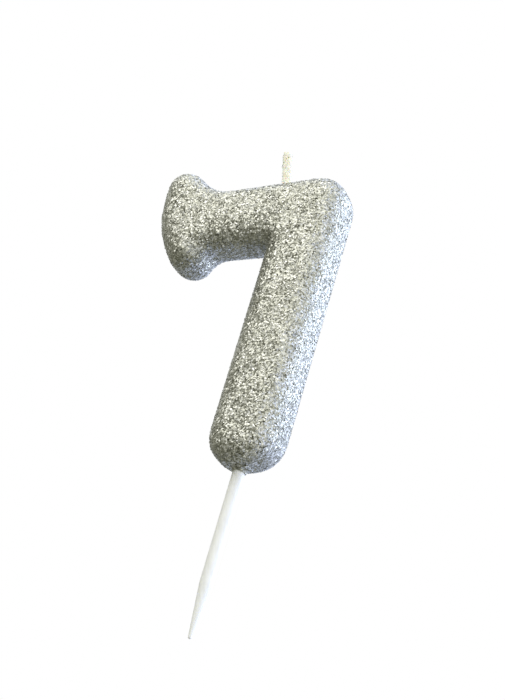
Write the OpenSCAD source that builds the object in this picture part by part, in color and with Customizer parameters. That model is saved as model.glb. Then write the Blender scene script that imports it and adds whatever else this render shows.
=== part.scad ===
// Number seven birthday candle: a cast wax numeral with rounded edges and a glitter skin,
// a plaited and waxed cotton wick that stands up out of the bar, and a pointed pick
// moulded into the foot of the stem. The numeral stands in the XZ plane, facing -Y, and
// the origin is where the pick comes out of the foot of the stem.

/* [Numeral] */
// Height of the top face of the bar above the foot of the stem
bar_top_h = 70; // [62:0.5:85]
// Depth of the bar where it meets the stem
bar_depth = 15.8; // [13:0.1:19]
// Rise of the underside of the bar from the stem to the serif
bar_rise = 0.6; // [0:0.1:2]
// Width of the stem, square to its slant
stem_w = 16.4; // [13.5:0.1:20]
// Lean of the stem away from upright, in degrees
stem_lean = 14; // [10:0.5:17]
// Distance from the centre of the foot to the bulging left side of the serif
serif_reach = 23.5; // [19.5:0.5:28.5]
// Width of the serif, from its left side to the narrow part of the bar
serif_w = 14.8; // [13:0.1:16]
// Height of the serif above the top face of the bar
serif_up = 7; // [5.5:0.1:8.5]
// Drop of the serif below the underside of the bar
serif_down = 6; // [4.5:0.1:7.5]
// Thickness of the numeral, front to back
body_t = 14; // [11.5:0.1:17]
// Radius of the rounded edges all round the numeral
edge_r = 5; // [4:0.1:5.5]
// Corner radius at the right end of the bar
bar_corner_r = 6.5; // [5:0.5:8]
// Corner radius at the foot of the stem
foot_corner_r = 7.6; // [6:0.1:8]

/* [Glitter coat] */
// Thickness of the skin of lacquer and glitter on the wax
coat_t = 0.4; // [0.3:0.05:0.8]

/* [Wick] */
// Height of the wick above the bar
wick_proud = 11; // [8:0.5:14]
// Bare plait above the wax sheath at the tip
wick_bare = 1; // [0.5:0.1:2]
// Width of the waxed wick
wick_w = 2.4; // [2.2:0.1:2.9]
// Thickness of the waxed wick
wick_t = 1.9; // [1.8:0.05:2.3]
// Thickness of the wax sheath on the wick
sheath_t = 0.2; // [0.15:0.01:0.25]
// Radius of one strand of the plait
strand_r = 0.3; // [0.25:0.01:0.32]
// Gap between the plait and its sheath
plait_gap = 0.06; // [0.05:0.01:0.1]
// Length of one full plait
plait_pitch = 6; // [5:0.1:7.5]
// Wax left between the wick and the outside of the numeral
wick_cover = 1.8; // [1.5:0.1:2.5]

/* [Pick] */
// Diameter of the pick
pick_d = 2.8; // [2.3:0.1:3.4]
// Length of the pick below the numeral
pick_len = 38; // [31:0.5:46]
// Length of the pointed end of the pick
point_len = 12; // [10:0.5:15]
// Radius of the blunt tip of the pick
tip_r = 0.4; // [0.3:0.05:0.5]
// Length of the pick that the wax holds
grip_len = 12; // [10:0.5:14.5]
// Diameter of the part of the pick that the wax holds
grip_d = 3.2; // [3.2:0.1:3.8]
// Length of that thicker part that shows below the foot
root_len = 0.5; // [0.5:0.05:0.6]
// Diameter of the rings that anchor the pick in the wax
ring_d = 4.4; // [4:0.1:5.2]
// Thickness of an anchor ring
ring_t = 0.8; // [0.6:0.1:1]

/* [Hidden] */

eps = 0.01;
arc_step = 15;
round_fn = 24;
bore_fn = 48;

// Sides of the stem at height z
lean_run = tan(stem_lean);
stem_half = stem_w / 2 / cos(stem_lean);
function stem_left(z) = z * lean_run - stem_half;
function stem_right(z) = z * lean_run + stem_half;

// Landmarks of the outline
notch_h = bar_top_h - bar_depth;
notch_x = stem_left(notch_h);
neck_x = -serif_reach + serif_w;
serif_top_h = bar_top_h + serif_up;
serif_foot_h = notch_h + bar_rise - serif_down;
bulge_h = (serif_top_h + serif_foot_h) / 2;

// Half the run of the narrow part of the bar, and its radii under and over the bar
neck_half = 0.6;
neck_foot_r = 3.6;
neck_top_r = 8.4;
notch_r = 0.4;

// How far in the serif's corners lie from its bulging side, with their radii
bulge_r = 25;
serif_foot_in = [5.4, 9.1];
serif_foot_r = [5.5, 5];
serif_foot_tilt = 0.5;
serif_top_in = [3.5, 9.5];
serif_top_r = [5.5, 5];

// Where the wick stands, and how far down it goes
wick_x = notch_x + wick_cover + wick_w / 2;
wick_top_h = bar_top_h + wick_proud;
wick_side_h = (wick_x + wick_w / 2 + wick_cover - stem_half) / lean_run;
grip_gap = 2;
wick_foot_h = max(grip_len + grip_gap, wick_side_h);

// Bore of the sheath, and how far a strand's centre swings inside it
bore_w = wick_w - 2 * sheath_t;
bore_t = wick_t - 2 * sheath_t;
swing_x = bore_w / 2 - strand_r - plait_gap;
swing_y = bore_t / 2 - strand_r - plait_gap;
strand_fn = 6;
rings_per_pitch = 12;

// Heights of the anchor rings on the grip
ring_drop = 1;
ring_inset = 2;
ring_places = [grip_len / 2 - ring_drop, grip_len - ring_inset - ring_t];

// Corners of the numeral, going round clockwise, each with its corner radius
corners = [
    [-stem_half, 0, foot_corner_r],
    [notch_x, notch_h, notch_r],
    [neck_x - neck_half, notch_h + bar_rise, neck_foot_r],
    [-serif_reach + serif_foot_in[1], serif_foot_h - serif_foot_tilt, serif_foot_r[1]],
    [-serif_reach + serif_foot_in[0], serif_foot_h + serif_foot_tilt, serif_foot_r[0]],
    [-serif_reach, bulge_h, bulge_r],
    [-serif_reach + serif_top_in[0], serif_top_h, serif_top_r[0]],
    [-serif_reach + serif_top_in[1], serif_top_h, serif_top_r[1]],
    [neck_x + neck_half, bar_top_h, neck_top_r],
    [stem_right(bar_top_h), bar_top_h, bar_corner_r],
    [stem_half, 0, foot_corner_r]
];

function unit(v) = v / norm(v);
function xy(c) = [c[0], c[1]];

// Arc that rounds the corner b between its neighbours a and c
function corner_arc(a, b, c, r) =
    let (u = unit(a - b), v = unit(c - b),
         half = acos(u * v) / 2,
         cut = min(r / tan(half), 0.49 * norm(a - b), 0.49 * norm(c - b)),
         rr = cut * tan(half),
         m = b + unit(u + v) * rr / sin(half),
         p = b + u * cut - m,
         q = b + v * cut - m,
         a0 = atan2(p[1], p[0]),
         turn = atan2(p[0] * q[1] - p[1] * q[0], p * q),
         n = max(1, ceil(abs(turn) / arc_step)))
    [for (i = [0:n]) m + rr * [cos(a0 + turn * i / n), sin(a0 + turn * i / n)]];

function rounded(cs) = [
    for (i = [0:len(cs) - 1])
        each corner_arc(xy(cs[(i + len(cs) - 1) % len(cs)]), xy(cs[i]),
                        xy(cs[(i + 1) % len(cs)]), cs[i][2])
];

// Ball whose poles lie on its axis, so that it rounds an edge to its full radius
module ball(r) {
    rotate_extrude($fn = round_fn)
        polygon([for (a = [-90:arc_step:90]) r * [cos(a), sin(a)]]);
}

// The numeral with its rounded edges, cut back by a depth under its outside
module numeral(under) {
    rotate([90, 0, 0])
        minkowski() {
            linear_extrude(height = body_t - 2 * edge_r, center = true)
                offset(r = -edge_r, $fn = round_fn)
                    polygon(rounded(corners));
            ball(edge_r - under);
        }
}

// A slot with round ends, wide in X, that stands from one height to another
module stadium(w, t, from, to) {
    translate([wick_x, 0, from]) {
        for (side = [-1, 1])
            translate([side * (w - t) / 2, 0, 0])
                cylinder(h = to - from, d = t, $fn = bore_fn);
        translate([-(w - t) / 2, -t / 2, 0])
            cube([w - t, t, to - from]);
    }
}

module wick_slot() {
    stadium(wick_w, wick_t, wick_foot_h, wick_top_h);
}

// The pick along the lean of the stem, with its thicker grip and anchor rings in the wax
module pick_solid() {
    rotate([0, stem_lean, 0]) {
        translate([0, 0, -pick_len + point_len])
            cylinder(h = pick_len - point_len - root_len, d = pick_d, $fn = bore_fn);
        translate([0, 0, -root_len])
            cylinder(h = grip_len + root_len, d = grip_d, $fn = bore_fn);
        translate([0, 0, -pick_len + tip_r])
            cylinder(h = point_len - tip_r, r1 = tip_r, r2 = pick_d / 2, $fn = bore_fn);
        translate([0, 0, -pick_len + tip_r])
            sphere(r = tip_r, $fn = bore_fn);
        for (h = ring_places)
            translate([0, 0, h])
                cylinder(h = ring_t, d = ring_d, $fn = bore_fn);
    }
}

// Path of a strand of the plait: side to side once, front to back twice, in each pitch
function strand_at(k, z) =
    let (turn = 360 * z / plait_pitch + 120 * k)
    [wick_x + swing_x * sin(turn), swing_y * sin(2 * turn), z];

module strand(k) {
    steps = ceil((wick_top_h - wick_foot_h) / plait_pitch * rings_per_pitch);
    rise = (wick_top_h - wick_foot_h) / steps;
    points = [
        for (i = [0:steps], s = [0:strand_fn - 1])
            strand_at(k, wick_foot_h + i * rise)
                + strand_r * [cos(360 * s / strand_fn), sin(360 * s / strand_fn), 0]
    ];
    sides = [
        for (i = [0:steps - 1], s = [0:strand_fn - 1])
            let (a = i * strand_fn + s, b = i * strand_fn + (s + 1) % strand_fn)
            each [[a, a + strand_fn, b + strand_fn], [a, b + strand_fn, b]]
    ];
    foot = [for (s = [0:strand_fn - 1]) s];
    top = [for (s = [strand_fn - 1:-1:0]) steps * strand_fn + s];
    polyhedron(points, concat([foot], sides, [top]));
}

module wax_body() {
    color("ivory")
        difference() {
            numeral(coat_t);
            wick_slot();
            pick_solid();
        }
}

module glitter_coat() {
    color("silver")
        difference() {
            numeral(0);
            numeral(coat_t);
            wick_slot();
            pick_solid();
        }
}

module wick_strand_1() {
    color("cornsilk") strand(0);
}

module wick_strand_2() {
    color("cornsilk") strand(1);
}

module wick_strand_3() {
    color("cornsilk") strand(2);
}

module wick_wax() {
    color("lightyellow")
        difference() {
            stadium(wick_w, wick_t, wick_foot_h, wick_top_h - wick_bare);
            stadium(bore_w, bore_t, wick_foot_h - eps, wick_top_h);
        }
}

module pick() {
    color("white") pick_solid();
}

wax_body();
glitter_coat();
wick_strand_1();
wick_strand_2();
wick_strand_3();
wick_wax();
pick();
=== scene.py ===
"""A silver glitter number seven birthday candle on its pick, in a plain pale studio.

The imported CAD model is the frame. The glitter skin is remeshed from the CAD coat, given a
slight crown and loose flakes, and the wick and the pick are built on their CAD solids.
"""
import math

import bpy
import bmesh
import numpy as np
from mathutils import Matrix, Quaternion, Vector
from mathutils.bvhtree import BVHTree
from mathutils.kdtree import KDTree


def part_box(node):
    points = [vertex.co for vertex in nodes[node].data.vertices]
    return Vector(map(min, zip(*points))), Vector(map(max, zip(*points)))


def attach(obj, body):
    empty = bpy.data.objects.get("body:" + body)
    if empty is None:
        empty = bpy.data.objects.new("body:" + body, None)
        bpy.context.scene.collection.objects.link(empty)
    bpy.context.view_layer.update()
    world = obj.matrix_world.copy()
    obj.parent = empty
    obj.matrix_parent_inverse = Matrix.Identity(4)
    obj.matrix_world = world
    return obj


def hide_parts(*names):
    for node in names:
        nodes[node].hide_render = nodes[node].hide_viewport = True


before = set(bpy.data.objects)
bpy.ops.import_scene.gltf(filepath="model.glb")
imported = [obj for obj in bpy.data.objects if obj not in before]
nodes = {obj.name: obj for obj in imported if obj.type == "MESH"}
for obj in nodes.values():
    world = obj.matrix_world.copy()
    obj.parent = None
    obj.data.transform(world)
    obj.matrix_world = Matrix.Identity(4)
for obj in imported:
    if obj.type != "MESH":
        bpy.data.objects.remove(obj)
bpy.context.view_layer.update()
MM = 0.001

# ---------------------------------------------------------------- sizes, in metres
WELD = 0.002 * MM             # vertices of the CAD mesh closer than this are one
ON_WAX = 0.05 * MM            # coat vertices closer than this to the wax are inside
VOXEL = 0.42 * MM             # spacing of the skin's mesh
SINK = 0.15 * MM              # depth of the lacquer under the tips of the flakes
CROWN = 0.45 * MM             # how far the front and back faces swell
CROWN_REACH = 7.5 * MM        # distance from the edge at which the swell is complete
SIDE_NORMAL = 0.25            # |normal y| under this is a side of the numeral
FACE_NORMAL = 0.3             # |normal y| over this is its front or back
SOFTEN = 0.5                  # strength of each smoothing step

FLAKE_HALF = 0.012 * MM       # half the thickness of a flake
FLAKE_R = (0.13 * MM, 0.23 * MM)
FLAKE_LIFT = (0.0, 0.05 * MM)
FLAKE_TILT = 0.24
FLAKES_PER_PIECE = 8000
FLAKE_PIECES = 3
CRUMBS = 24                   # flakes stuck to the wick
CRUMB_R = (0.12 * MM, 0.2 * MM)
CRUMB_LIFT = (0.0, 0.03 * MM)
LOOSE_TILT = 0.35             # of the flakes on the wick and on the root

PLAIT_PITCH = 6 * MM
STRAND_R = 0.34 * MM
SHEATH_T = 0.2 * MM
YARNS = 5                     # yarns twisted into a strand
YARN_TWIST = 1.6 * MM         # length of one turn of the yarns
YARN_DEPTH = 0.07             # depth of the grooves between yarns, as a share of the radius
FRAY = 0.5 * MM               # length of the thinner tip of each strand
FRAY_LOSS = 0.45              # share of the radius lost at that tip
DENT = 0.06                   # depth of the sheath's dents, as a share of its half width

LEAN = math.radians(14)       # slant of the stem and of the pick
PICK_R = 1.4 * MM
ROOT_R = 1.6 * MM
ROOT_LEN = 0.5 * MM
ROOT_BLEND = 0.25 * MM        # length of the hollow that leads to the root
POINT_LEN = 12 * MM
TIP_R = 0.4 * MM
GRIP_LEN = 12 * MM            # length inside the wax
ANCHOR_R = 2.2 * MM           # anchor rings inside the wax
ANCHOR_T = 0.8 * MM
ANCHORS = (5.0 * MM, 9.2 * MM)
BURR = 0.3 * MM               # rounding of the hidden end
SEAM = 0.03 * MM              # height of the mould line
SEAM_W = 0.12                 # half width of the mould line, as a sine round the pick
CREEP = 0.62 * MM             # how far the lacquer crept down the pick
FLARE = 1.1 * MM              # how far it spreads under the foot
FLARE_RISE = 0.3 * MM
MENISCUS_TOP = 1.6 * MM       # inside the numeral
ROOT_FLAKE_R = (0.12 * MM, 0.22 * MM)
ROOT_FLAKE_LIFT = (0.0, 0.04 * MM)
ROOT_FLAKE_TOP = 0.25 * MM    # flakes over this height are hidden by the numeral

rng = np.random.default_rng(7)


# ---------------------------------------------------------------- node helpers
def new_material(name):
    material = bpy.data.materials.new(name)
    material.use_nodes = True
    tree = material.node_tree
    shader = tree.nodes["Principled BSDF"]
    return material, tree, shader


def add(tree, kind, **settings):
    node = tree.nodes.new(kind)
    for key, value in settings.items():
        if key in node.inputs:
            node.inputs[key].default_value = value
        else:
            setattr(node, key, value)
    return node


def vector_node(tree, operation, a, b=None, scale=None):
    node = tree.nodes.new("ShaderNodeVectorMath")
    node.operation = operation
    for i, value in enumerate((a, b)):
        if value is None:
            continue
        if isinstance(value, (tuple, list)):
            node.inputs[i].default_value = value
        else:
            tree.links.new(value, node.inputs[i])
    if scale is not None:
        node.inputs["Scale"].default_value = scale
    return node.outputs[0]


def ramp(tree, factor, stops):
    node = tree.nodes.new("ShaderNodeValToRGB")
    elements = node.color_ramp.elements
    while len(elements) < len(stops):
        elements.new(0.5)
    for element, (position, colour) in zip(elements, stops):
        element.position = position
        element.color = (*colour, 1.0)
    tree.links.new(factor, node.inputs["Fac"])
    return node.outputs["Color"]


def object_coords(tree):
    return tree.nodes.new("ShaderNodeTexCoord").outputs["Object"]


# ---------------------------------------------------------------- materials
def glitter_skin_material():
    """Silver flakes in clear lacquer: a cell for each flake, each with its own tilt and tone."""
    material, tree, shader = new_material("glitter_skin")
    where = object_coords(tree)
    flakes = add(tree, "ShaderNodeTexVoronoi", Scale=2600.0, Randomness=1.0)
    tree.links.new(where, flakes.inputs["Vector"])
    tone = tree.nodes.new("ShaderNodeSeparateColor")
    tree.links.new(flakes.outputs["Color"], tone.inputs["Color"])

    normal = tree.nodes.new("ShaderNodeNewGeometry").outputs["Normal"]
    spread = vector_node(tree, "SUBTRACT", flakes.outputs["Color"], (0.5, 0.5, 0.5))
    tilt = vector_node(tree, "SCALE", spread, scale=1.05)
    tilted = vector_node(tree, "NORMALIZE", vector_node(tree, "ADD", normal, tilt))
    tree.links.new(tilted, shader.inputs["Normal"])

    silver = ramp(tree, tone.outputs["Red"], [
        (0.0, (0.24, 0.24, 0.20)),
        (0.25, (0.36, 0.365, 0.315)),
        (0.7, (0.50, 0.505, 0.46)),
        (1.0, (0.64, 0.64, 0.615)),
    ])
    tree.links.new(silver, shader.inputs["Base Color"])
    shader.inputs["Metallic"].default_value = 0.85
    rough = ramp(tree, tone.outputs["Green"], [(0.0, (0.2,) * 3), (1.0, (0.55,) * 3)])
    tree.links.new(rough, shader.inputs["Roughness"])
    return material


def flake_material():
    """One loose flake: bright metal, each island a slightly different silver."""
    material, tree, shader = new_material("glitter_flake")
    island = tree.nodes.new("ShaderNodeNewGeometry").outputs["Random Per Island"]
    silver = ramp(tree, island, [
        (0.0, (0.30, 0.30, 0.26)),
        (0.3, (0.45, 0.455, 0.405)),
        (0.8, (0.60, 0.60, 0.565)),
        (1.0, (0.74, 0.74, 0.72)),
    ])
    tree.links.new(silver, shader.inputs["Base Color"])
    shader.inputs["Metallic"].default_value = 1.0
    scratches = add(tree, "ShaderNodeTexNoise", Scale=9000.0, Detail=2.0)
    tree.links.new(object_coords(tree), scratches.inputs["Vector"])
    rough = ramp(tree, scratches.outputs["Fac"], [(0.3, (0.24,) * 3), (0.7, (0.42,) * 3)])
    tree.links.new(rough, shader.inputs["Roughness"])
    return material


def wax_material(name, light, dark, scatter, alpha=1.0):
    """Cast wax: soft scattering, slight mottling and a satin sheen."""
    material, tree, shader = new_material(name)
    where = object_coords(tree)
    cloud = add(tree, "ShaderNodeTexNoise", Scale=420.0, Detail=5.0, Roughness=0.6)
    tree.links.new(where, cloud.inputs["Vector"])
    colour = ramp(tree, cloud.outputs["Fac"], [(0.3, dark), (0.7, light)])
    tree.links.new(colour, shader.inputs["Base Color"])
    shader.inputs["Subsurface Weight"].default_value = scatter
    shader.inputs["Subsurface Radius"].default_value = (1.2 * MM, 1.0 * MM, 0.7 * MM)
    shader.inputs["Subsurface Scale"].default_value = 1.0
    shader.inputs["Alpha"].default_value = alpha
    rough = ramp(tree, cloud.outputs["Fac"], [(0.2, (0.3,) * 3), (0.8, (0.5,) * 3)])
    tree.links.new(rough, shader.inputs["Roughness"])
    grain = add(tree, "ShaderNodeTexNoise", Scale=2500.0, Detail=3.0)
    tree.links.new(where, grain.inputs["Vector"])
    bump = add(tree, "ShaderNodeBump", Strength=0.25, Distance=0.05 * MM)
    tree.links.new(grain.outputs["Fac"], bump.inputs["Height"])
    tree.links.new(bump.outputs["Normal"], shader.inputs["Normal"])
    return material


def cotton_material():
    """Waxed cotton yarn: cream fibres of random tone, with painted shade that darkens them in
    the grooves of the bump.
    """
    material, tree, shader = new_material("waxed_cotton")
    where = object_coords(tree)
    fibres = add(tree, "ShaderNodeTexNoise", Scale=6000.0, Detail=4.0, Roughness=0.7)
    tree.links.new(where, fibres.inputs["Vector"])
    # painted shade: the noise that sinks the bump's grooves also darkens the colour there, on
    # top of the fibres' random tone
    colour = ramp(tree, fibres.outputs["Fac"], [
        (0.25, (0.82, 0.78, 0.60)),
        (0.6, (0.96, 0.94, 0.83)),
        (0.8, (0.98, 0.97, 0.92)),
    ])
    tree.links.new(colour, shader.inputs["Base Color"])
    shader.inputs["Roughness"].default_value = 0.6
    shader.inputs["Sheen Weight"].default_value = 0.3
    bump = add(tree, "ShaderNodeBump", Strength=0.5, Distance=0.04 * MM)
    tree.links.new(fibres.outputs["Fac"], bump.inputs["Height"])
    tree.links.new(bump.outputs["Normal"], shader.inputs["Normal"])
    return material


def pick_material():
    """Moulded white plastic: faint flow marks along its length and a satin gloss."""
    material, tree, shader = new_material("pick_plastic")
    where = object_coords(tree)
    stretch = add(tree, "ShaderNodeMapping")
    stretch.inputs["Scale"].default_value = (1.0, 1.0, 0.12)
    stretch.inputs["Rotation"].default_value = (0.0, -LEAN, 0.0)
    tree.links.new(where, stretch.inputs["Vector"])
    flow = add(tree, "ShaderNodeTexNoise", Scale=1600.0, Detail=4.0, Roughness=0.55)
    tree.links.new(stretch.outputs["Vector"], flow.inputs["Vector"])
    colour = ramp(tree, flow.outputs["Fac"], [
        (0.3, (0.80, 0.81, 0.82)),
        (0.7, (0.90, 0.91, 0.92)),
    ])
    tree.links.new(colour, shader.inputs["Base Color"])
    rough = ramp(tree, flow.outputs["Fac"], [(0.2, (0.25,) * 3), (0.8, (0.38,) * 3)])
    tree.links.new(rough, shader.inputs["Roughness"])
    shader.inputs["Subsurface Weight"].default_value = 0.25
    shader.inputs["Subsurface Radius"].default_value = (0.8 * MM, 0.8 * MM, 0.9 * MM)
    shader.inputs["Subsurface Scale"].default_value = 1.0
    bump = add(tree, "ShaderNodeBump", Strength=0.12, Distance=0.03 * MM)
    tree.links.new(flow.outputs["Fac"], bump.inputs["Height"])
    tree.links.new(bump.outputs["Normal"], shader.inputs["Normal"])
    return material


def floor_material():
    material, tree, shader = new_material("studio_floor")
    shader.inputs["Base Color"].default_value = (0.93, 0.93, 0.93, 1.0)
    shader.inputs["Roughness"].default_value = 0.9
    return material


# ---------------------------------------------------------------- mesh helpers
def link(name, mesh):
    piece = bpy.data.objects.new(name, mesh)
    bpy.context.scene.collection.objects.link(piece)
    return piece


def finish_piece(piece, material, slot, *replaced, smooth=True):
    piece.data.materials.clear()
    piece.data.materials.append(material)
    piece.data.polygons.foreach_set("use_smooth", [smooth] * len(piece.data.polygons))
    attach(piece, "root")
    if replaced:
        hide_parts(*replaced)
    return piece


def apply_modifiers(piece):
    depsgraph = bpy.context.evaluated_depsgraph_get()
    mesh = bpy.data.meshes.new_from_object(piece.evaluated_get(depsgraph))
    piece.modifiers.clear()
    piece.data = mesh


def verts_of(mesh):
    flat = np.empty(len(mesh.vertices) * 3)
    mesh.vertices.foreach_get("co", flat)
    return flat.reshape(-1, 3)


def normals_of(mesh):
    flat = np.empty(len(mesh.vertices) * 3)
    mesh.vertices.foreach_get("normal", flat)
    return flat.reshape(-1, 3)


def merged_bmesh(obj):
    bm = bmesh.new()
    bm.from_mesh(obj.data)
    bmesh.ops.remove_doubles(bm, verts=bm.verts, dist=WELD)
    return bm


# ---------------------------------------------------------------- the glitter skin
def outer_surface():
    """The outside of the CAD coat, closed over where the wick and the pick come out."""
    wax = merged_bmesh(nodes["wax_body"])
    wax_tree = BVHTree.FromBMesh(wax)
    bm = merged_bmesh(nodes["glitter_coat"])
    on_wax = {v: wax_tree.find_nearest(v.co)[3] < ON_WAX for v in bm.verts}
    inner = [f for f in bm.faces if all(on_wax[v] for v in f.verts)]
    bmesh.ops.delete(bm, geom=inner, context="FACES")
    bmesh.ops.holes_fill(bm, edges=[e for e in bm.edges if e.is_boundary], sides=0)
    bmesh.ops.recalc_face_normals(bm, faces=bm.faces)
    mesh = bpy.data.meshes.new("numeral_outside")
    bm.to_mesh(mesh)
    bm.free()
    wax.free()
    return mesh


def crown(mesh):
    """Swells the front and back faces, most in the middle of each stroke."""
    co, no = verts_of(mesh), normals_of(mesh)
    sides = co[np.abs(no[:, 1]) < SIDE_NORMAL]
    tree = KDTree(len(sides))
    for i, p in enumerate(sides):
        tree.insert((p[0], 0.0, p[2]), i)
    tree.balance()
    for i in np.nonzero(np.abs(no[:, 1]) > FACE_NORMAL)[0]:
        reach = tree.find((co[i, 0], 0.0, co[i, 2]))[2] / CROWN_REACH
        share = min(reach, 1.0)
        co[i, 1] += math.copysign(CROWN * math.sin(share * math.pi / 2), co[i, 1])
    mesh.vertices.foreach_set("co", co.ravel())
    mesh.update()


def soften(piece, iterations):
    modifier = piece.modifiers.new("soften", "SMOOTH")
    modifier.factor = SOFTEN
    modifier.iterations = iterations
    apply_modifiers(piece)


def build_skin():
    """The coat's outside as one even mesh, sunk a little under its flakes and crowned."""
    piece = link("glitter_skin", outer_surface())
    remesh = piece.modifiers.new("remesh", "REMESH")
    remesh.mode = "VOXEL"
    remesh.voxel_size = VOXEL
    soften(piece, iterations=6)
    sunk = verts_of(piece.data) - SINK * normals_of(piece.data)
    piece.data.vertices.foreach_set("co", sunk.ravel())
    piece.data.update()
    crown(piece.data)
    soften(piece, iterations=5)
    return piece


# ---------------------------------------------------------------- flakes
def surface_samples(mesh, count):
    """Points spread evenly by area over a mesh, with its smooth normal at each."""
    mesh.calc_loop_triangles()
    tris = np.empty(len(mesh.loop_triangles) * 3, dtype=np.int32)
    mesh.loop_triangles.foreach_get("vertices", tris)
    tris = tris.reshape(-1, 3)
    co, no = verts_of(mesh), normals_of(mesh)
    a, b, c = co[tris[:, 0]], co[tris[:, 1]], co[tris[:, 2]]
    area = np.linalg.norm(np.cross(b - a, c - a), axis=1)
    steps = np.cumsum(area) / area.sum()
    pick = np.searchsorted(steps, (np.arange(count) + rng.random(count)) / count)
    u, v = rng.random((2, count))
    flip = u + v > 1
    u[flip], v[flip] = 1 - u[flip], 1 - v[flip]
    w = 1 - u - v
    points = a[pick] * w[:, None] + b[pick] * u[:, None] + c[pick] * v[:, None]
    normal = (no[tris[pick, 0]] * w[:, None] + no[tris[pick, 1]] * u[:, None]
              + no[tris[pick, 2]] * v[:, None])
    return points, normal / np.linalg.norm(normal, axis=1)[:, None]


def flake_mesh(name, points, normal, tilt, radius, lift):
    """Thin six-sided plates, each leaning off the surface by its own angle."""
    count = len(points)
    lean = normal + rng.normal(0, tilt, (count, 3))
    lean /= np.linalg.norm(lean, axis=1)[:, None]
    side = np.cross(lean, rng.normal(0, 1, (count, 3)))
    side /= np.linalg.norm(side, axis=1)[:, None]
    other = np.cross(lean, side)
    size = rng.uniform(*radius, count)
    centre = points + normal * rng.uniform(*lift, count)[:, None]
    corners = np.empty((count, 12, 3))
    for i in range(6):
        angle = math.pi / 3 * i
        arm = size[:, None] * (side * math.cos(angle) + other * math.sin(angle))
        corners[:, i] = centre + arm - lean * FLAKE_HALF
        corners[:, i + 6] = centre + arm + lean * FLAKE_HALF
    base = [tuple(range(5, -1, -1)), tuple(range(6, 12))]
    base += [(i, (i + 1) % 6, (i + 1) % 6 + 6, i + 6) for i in range(6)]
    sizes = np.array([len(f) for f in base])
    loops = np.array([i for f in base for i in f])
    all_loops = (loops[None, :] + 12 * np.arange(count)[:, None]).ravel()
    starts = np.concatenate([[0], np.cumsum(sizes)[:-1]])
    all_starts = (starts[None, :] + len(loops) * np.arange(count)[:, None]).ravel()
    mesh = bpy.data.meshes.new(name)
    mesh.vertices.add(count * 12)
    mesh.vertices.foreach_set("co", corners.ravel())
    mesh.loops.add(len(all_loops))
    mesh.loops.foreach_set("vertex_index", all_loops.astype(np.int32))
    mesh.polygons.add(len(all_starts))
    mesh.polygons.foreach_set("loop_start", all_starts.astype(np.int32))
    mesh.polygons.foreach_set("loop_total", np.tile(sizes, count).astype(np.int32))
    mesh.update(calc_edges=True)
    mesh.validate()
    return mesh


def build_flakes(skin, material):
    points, normal = surface_samples(skin.data, FLAKES_PER_PIECE * FLAKE_PIECES)
    for i in range(FLAKE_PIECES):
        mine = slice(i, None, FLAKE_PIECES)
        mesh = flake_mesh(f"glitter_flakes_{i + 1}", points[mine], normal[mine],
                          tilt=FLAKE_TILT, radius=FLAKE_R, lift=FLAKE_LIFT)
        finish_piece(link(mesh.name, mesh), material, "glitter", smooth=False)


# ---------------------------------------------------------------- the wick
def tube(name, rings):
    """A closed tube through rings of the same number of points."""
    rings = np.asarray(rings)
    steps, around = rings.shape[:2]
    faces = [
        (i * around + j, i * around + (j + 1) % around,
         (i + 1) * around + (j + 1) % around, (i + 1) * around + j)
        for i in range(steps - 1) for j in range(around)
    ]
    faces.append(tuple(range(around - 1, -1, -1)))
    faces.append(tuple(range((steps - 1) * around, steps * around)))
    mesh = bpy.data.meshes.new(name)
    mesh.from_pydata(rings.reshape(-1, 3).tolist(), [], faces)
    mesh.update()
    return mesh


def circle(around):
    return np.linspace(0, 2 * math.pi, around, endpoint=False)


def strand_path(k, z, foot, lo, hi):
    """Centre line of strand k: side to side once, front to back twice, in each pitch."""
    swing_x = (hi.x - lo.x) / 2 - SHEATH_T - STRAND_R
    swing_y = (hi.y - lo.y) / 2 - SHEATH_T - STRAND_R
    turn = 2 * math.pi * ((z - foot) / PLAIT_PITCH + k / 3)
    return np.stack([(lo.x + hi.x) / 2 + swing_x * np.sin(turn),
                     swing_y * np.sin(2 * turn), z], 1)


def build_plait(cotton):
    """Three strands, each with its twisted yarns, a little thinner at the tip."""
    lo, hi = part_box("wick_wax")
    strand_lo, strand_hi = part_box("wick_strand_1")
    foot, top = strand_lo.z, strand_hi.z
    z = np.linspace(foot, top, 420)
    angle = circle(20)[None, :]
    twist = (z[:, None] - foot) / YARN_TWIST * 2 * math.pi
    radius = STRAND_R * (1 - YARN_DEPTH + YARN_DEPTH * np.cos(YARNS * angle + twist))
    radius *= 1 - FRAY_LOSS * np.clip((z[:, None] - top + FRAY) / FRAY, 0, 1) ** 2
    for k in range(3):
        centre = strand_path(k, z, foot, lo, hi)
        way = np.gradient(centre, axis=0)
        way /= np.linalg.norm(way, axis=1)[:, None]
        side = np.cross(way, (0.0, 1.0, 0.0))
        side /= np.linalg.norm(side, axis=1)[:, None]
        front = np.cross(side, way)
        rings = (centre[:, None, :] + (radius * np.cos(angle))[..., None] * side[:, None, :]
                 + (radius * np.sin(angle))[..., None] * front[:, None, :])
        mesh = tube(f"wick_plait_{k + 1}", rings)
        finish_piece(link(mesh.name, mesh), cotton, "cotton", f"wick_strand_{k + 1}")


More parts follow.
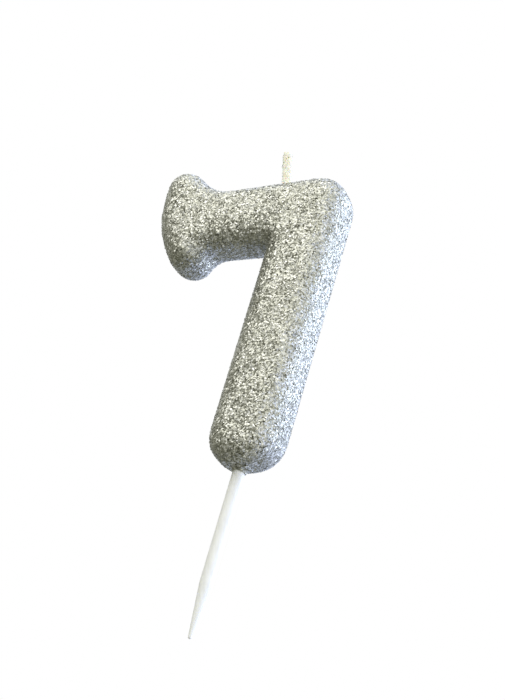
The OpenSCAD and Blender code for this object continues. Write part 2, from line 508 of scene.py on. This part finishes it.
def build_sheath(wax):
    """The thin wax round the plait, dented in step with it."""
    lo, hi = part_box("wick_wax")
    z = np.linspace(lo.z, hi.z, 260)
    angle = circle(40)
    end = (hi.y - lo.y) / 2
    flat = (hi.x - lo.x) / 2 - end
    across = np.sign(np.cos(angle)) * (np.abs(np.cos(angle)) > 0.02)
    ring = np.stack([flat * across + end * np.cos(angle), end * np.sin(angle)], 1)
    plait = 6 * math.pi * (z - lo.z) / PLAIT_PITCH      # three crossings in each pitch
    dent = 1 - DENT * (0.5 + 0.5 * np.cos(plait[:, None] + 2 * angle[None, :]))
    rings = np.empty((len(z), len(angle), 3))
    rings[..., 0] = (lo.x + hi.x) / 2 + ring[None, :, 0] * dent
    rings[..., 1] = ring[None, :, 1] * dent
    rings[..., 2] = z[:, None]
    mesh = tube("wick_priming_wax", rings)
    return finish_piece(link(mesh.name, mesh), wax, "wick_wax", "wick_wax")


def build_crumbs(sheath, material):
    """A few flakes that stuck to the wick when the numeral was coated."""
    points, normal = surface_samples(sheath.data, 1500)
    free = np.nonzero(points[:, 2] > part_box("glitter_coat")[1].z - 1 * MM)[0]
    mine = rng.choice(free, CRUMBS, replace=False)
    mesh = flake_mesh("wick_crumbs", points[mine], normal[mine],
                      tilt=LOOSE_TILT, radius=CRUMB_R, lift=CRUMB_LIFT)
    finish_piece(link(mesh.name, mesh), material, "glitter", smooth=False)


# ---------------------------------------------------------------- the pick
def leaning(radius, height, angle):
    """Points of a ring round the pick's leaning axis."""
    x, y = radius * np.cos(angle), radius * np.sin(angle)
    return np.stack([x * math.cos(LEAN) + height * math.sin(LEAN), y,
                     -x * math.sin(LEAN) + height * math.cos(LEAN)], -1)


def pick_profile(tip):
    """Radius and height up the pick: round tip, point, shaft, root, grip with its anchors."""
    shoulder = -ROOT_LEN - ROOT_BLEND
    profile = [(0.02 * MM, tip)]
    profile += [(TIP_R * math.sin(a), tip + TIP_R * (1 - math.cos(a)))
                for a in np.linspace(0.2, math.pi / 2, 6)]
    profile += [(TIP_R + (PICK_R - TIP_R) * s, tip + TIP_R + (POINT_LEN - TIP_R) * s)
                for s in np.linspace(0.05, 0.97, 12)]
    profile += [(PICK_R, h) for h in np.linspace(tip + POINT_LEN, shoulder, 30)]
    profile += [(PICK_R + (ROOT_R - PICK_R) * s * s, shoulder + ROOT_BLEND * s)
                for s in np.linspace(0.2, 1.0, 5)]
    for low in ANCHORS:
        high = low + ANCHOR_T
        profile += [(ROOT_R, low), (ANCHOR_R, low), (ANCHOR_R, high), (ROOT_R, high)]
    return profile + [(ROOT_R, GRIP_LEN - BURR), (ROOT_R - BURR, GRIP_LEN)]


def build_pick(material):
    """The pick's turned outline, swept round its leaning axis, with a fine mould line."""
    angle = circle(48)
    seam = SEAM * np.exp(-((np.abs(np.sin(angle)) / SEAM_W) ** 2))
    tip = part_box("pick")[0].z / math.cos(LEAN)
    rings = [leaning(r + seam * min(1.0, r / PICK_R) * (h < -ROOT_LEN), h, angle)
             for r, h in pick_profile(tip)]
    mesh = tube("pick_moulding", rings)
    finish_piece(link(mesh.name, mesh), material, "pick_plastic", "pick")


def build_meniscus(skin_look, flake_look):
    """Lacquer and glitter that crept a little way down the pick from the foot."""
    around = 72
    angle = circle(around)
    creep = CREEP + (0.10 * np.sin(2 * angle + 0.6) + 0.07 * np.sin(5 * angle)) * MM
    rings = [leaning(np.full(around, PICK_R - 0.1 * MM), -creep + 0.02 * MM, angle)]
    for s in np.linspace(0, 1, 16):
        radius = ROOT_R + 0.03 * MM + FLARE * s ** 2.2
        rings.append(leaning(radius, -creep + (creep + FLARE_RISE) * s ** 0.8, angle))
    rings.append(leaning(ROOT_R + FLARE, np.full(around, MENISCUS_TOP), angle))
    rings.append(leaning(ROOT_R, np.full(around, MENISCUS_TOP), angle))
    mesh = tube("root_meniscus", rings)
    piece = finish_piece(link(mesh.name, mesh), skin_look, "glitter")
    where, normal = surface_samples(piece.data, 420)
    shown = where[:, 2] < ROOT_FLAKE_TOP
    mesh = flake_mesh("root_flakes", where[shown], normal[shown], tilt=LOOSE_TILT,
                      radius=ROOT_FLAKE_R, lift=ROOT_FLAKE_LIFT)
    finish_piece(link(mesh.name, mesh), flake_look, "glitter", smooth=False)


# ---------------------------------------------------------------- studio
def area_light(name, place, target, size, power, colour):
    light = bpy.data.lights.new(name, "AREA")
    light.shape = "DISK"
    light.size = size
    light.energy = power
    light.color = colour
    lamp = bpy.data.objects.new(name, light)
    lamp.location = place
    lamp.rotation_mode = "QUATERNION"
    lamp.rotation_quaternion = (Vector(target) - Vector(place)).to_track_quat("-Z", "Y")
    lamp.visible_camera = False
    bpy.context.scene.collection.objects.link(lamp)


def along(tree, way, axis):
    """Goes from 0 to 1 as the direction swings from against the axis to along it."""
    dot = add(tree, "ShaderNodeVectorMath", operation="DOT_PRODUCT")
    tree.links.new(way, dot.inputs[0])
    dot.inputs[1].default_value = axis
    share = add(tree, "ShaderNodeMapRange")
    share.inputs["From Min"].default_value = -1.0
    tree.links.new(dot.outputs["Value"], share.inputs["Value"])
    return share.outputs["Result"]


def build_world():
    """A white studio that is cool behind and to the right, and dark underneath."""
    world = bpy.data.worlds.new("studio")
    bpy.context.scene.world = world
    world.use_nodes = True
    tree = world.node_tree
    background = tree.nodes["Background"]
    way = tree.nodes.new("ShaderNodeTexCoord").outputs["Generated"]
    tone = ramp(tree, along(tree, way, (0.60, 0.20, 0.77)), [
        (0.04, (0.32, 0.32, 0.27)),
        (0.34, (0.60, 0.60, 0.57)),
        (0.50, (1.03, 1.03, 1.03)),
        (0.84, (1.50, 1.50, 1.50)),
        (1.0, (1.40, 1.40, 1.40)),
    ])
    left = ramp(tree, along(tree, way, (1.0, 0.0, 0.0)), [
        (0.0, (0.60, 0.60, 0.55)),
        (0.42, (1.00, 1.00, 1.00)),
    ])
    tint = ramp(tree, along(tree, way, (0.53, 0.84, 0.10)), [
        (0.30, (1.00, 1.00, 0.93)),
        (0.60, (0.98, 1.00, 1.02)),
        (0.80, (0.90, 1.01, 1.35)),
    ])
    lit = vector_node(tree, "MULTIPLY", vector_node(tree, "MULTIPLY", tone, left), tint)
    seen = tree.nodes.new("ShaderNodeLightPath").outputs["Is Camera Ray"]
    choose = add(tree, "ShaderNodeMix", data_type="RGBA")
    tree.links.new(seen, choose.inputs["Factor"])
    tree.links.new(lit, choose.inputs["A"])
    choose.inputs["B"].default_value = (1.0, 1.0, 1.0, 1.0)
    tree.links.new(choose.outputs["Result"], background.inputs["Color"])
    background.inputs["Strength"].default_value = 1.0


def build_floor():
    """A plain pale floor, well under the candle, as it hangs clear of any surface."""
    mesh = bpy.data.meshes.new("studio_floor")
    half, drop = 40.0, -0.6
    mesh.from_pydata([(-half, -half, drop), (half, -half, drop), (half, half, drop),
                      (-half, half, drop)], [], [(0, 1, 2, 3)])
    floor = link("studio_floor", mesh)
    mesh.materials.append(floor_material())
    floor.visible_diffuse = False
    floor.visible_glossy = False


def build_camera():
    """From below and a little to the right, rolled by a few degrees."""
    camera = bpy.data.objects.new("camera", bpy.data.cameras.new("camera"))
    camera.data.lens = 73.54
    camera.data.sensor_width = 36.0
    camera.data.clip_start = 0.01
    place = Vector((0.10239, -0.27323, -0.11131))
    target = Vector((0.00165, -0.00017, 0.02875))
    camera.location = place
    camera.rotation_mode = "QUATERNION"
    roll = Quaternion((0, 0, 1), math.radians(2.91))
    camera.rotation_quaternion = (target - place).to_track_quat("-Z", "Y") @ roll
    bpy.context.scene.collection.objects.link(camera)
    bpy.context.scene.camera = camera


build_camera()
build_world()
build_floor()
area_light("key", (-0.02, -0.18, 0.22), (0, 0, 0.06), 0.30, 0.27, (1.0, 0.98, 0.92))
area_light("right", (0.45, 0.30, 0.18), (0, 0, 0.03), 0.40, 1.3, (0.80, 0.90, 1.0))
bpy.context.scene.view_settings.view_transform = "Standard"

skin = build_skin()
flake = flake_material()
build_flakes(skin, flake)
skin_look = glitter_skin_material()
finish_piece(skin, skin_look, "glitter", "glitter_coat")
build_meniscus(skin_look, flake)
build_plait(cotton_material())
sheath = build_sheath(wax_material(
    "priming_wax", (0.98, 0.97, 0.90), (0.95, 0.93, 0.80), 0.6, alpha=0.55))
build_crumbs(sheath, flake)
build_pick(pick_material())
nodes["wax_body"].data.materials.clear()
nodes["wax_body"].data.materials.append(
    wax_material("cast_wax", (0.93, 0.92, 0.88), (0.86, 0.84, 0.78), 0.5))
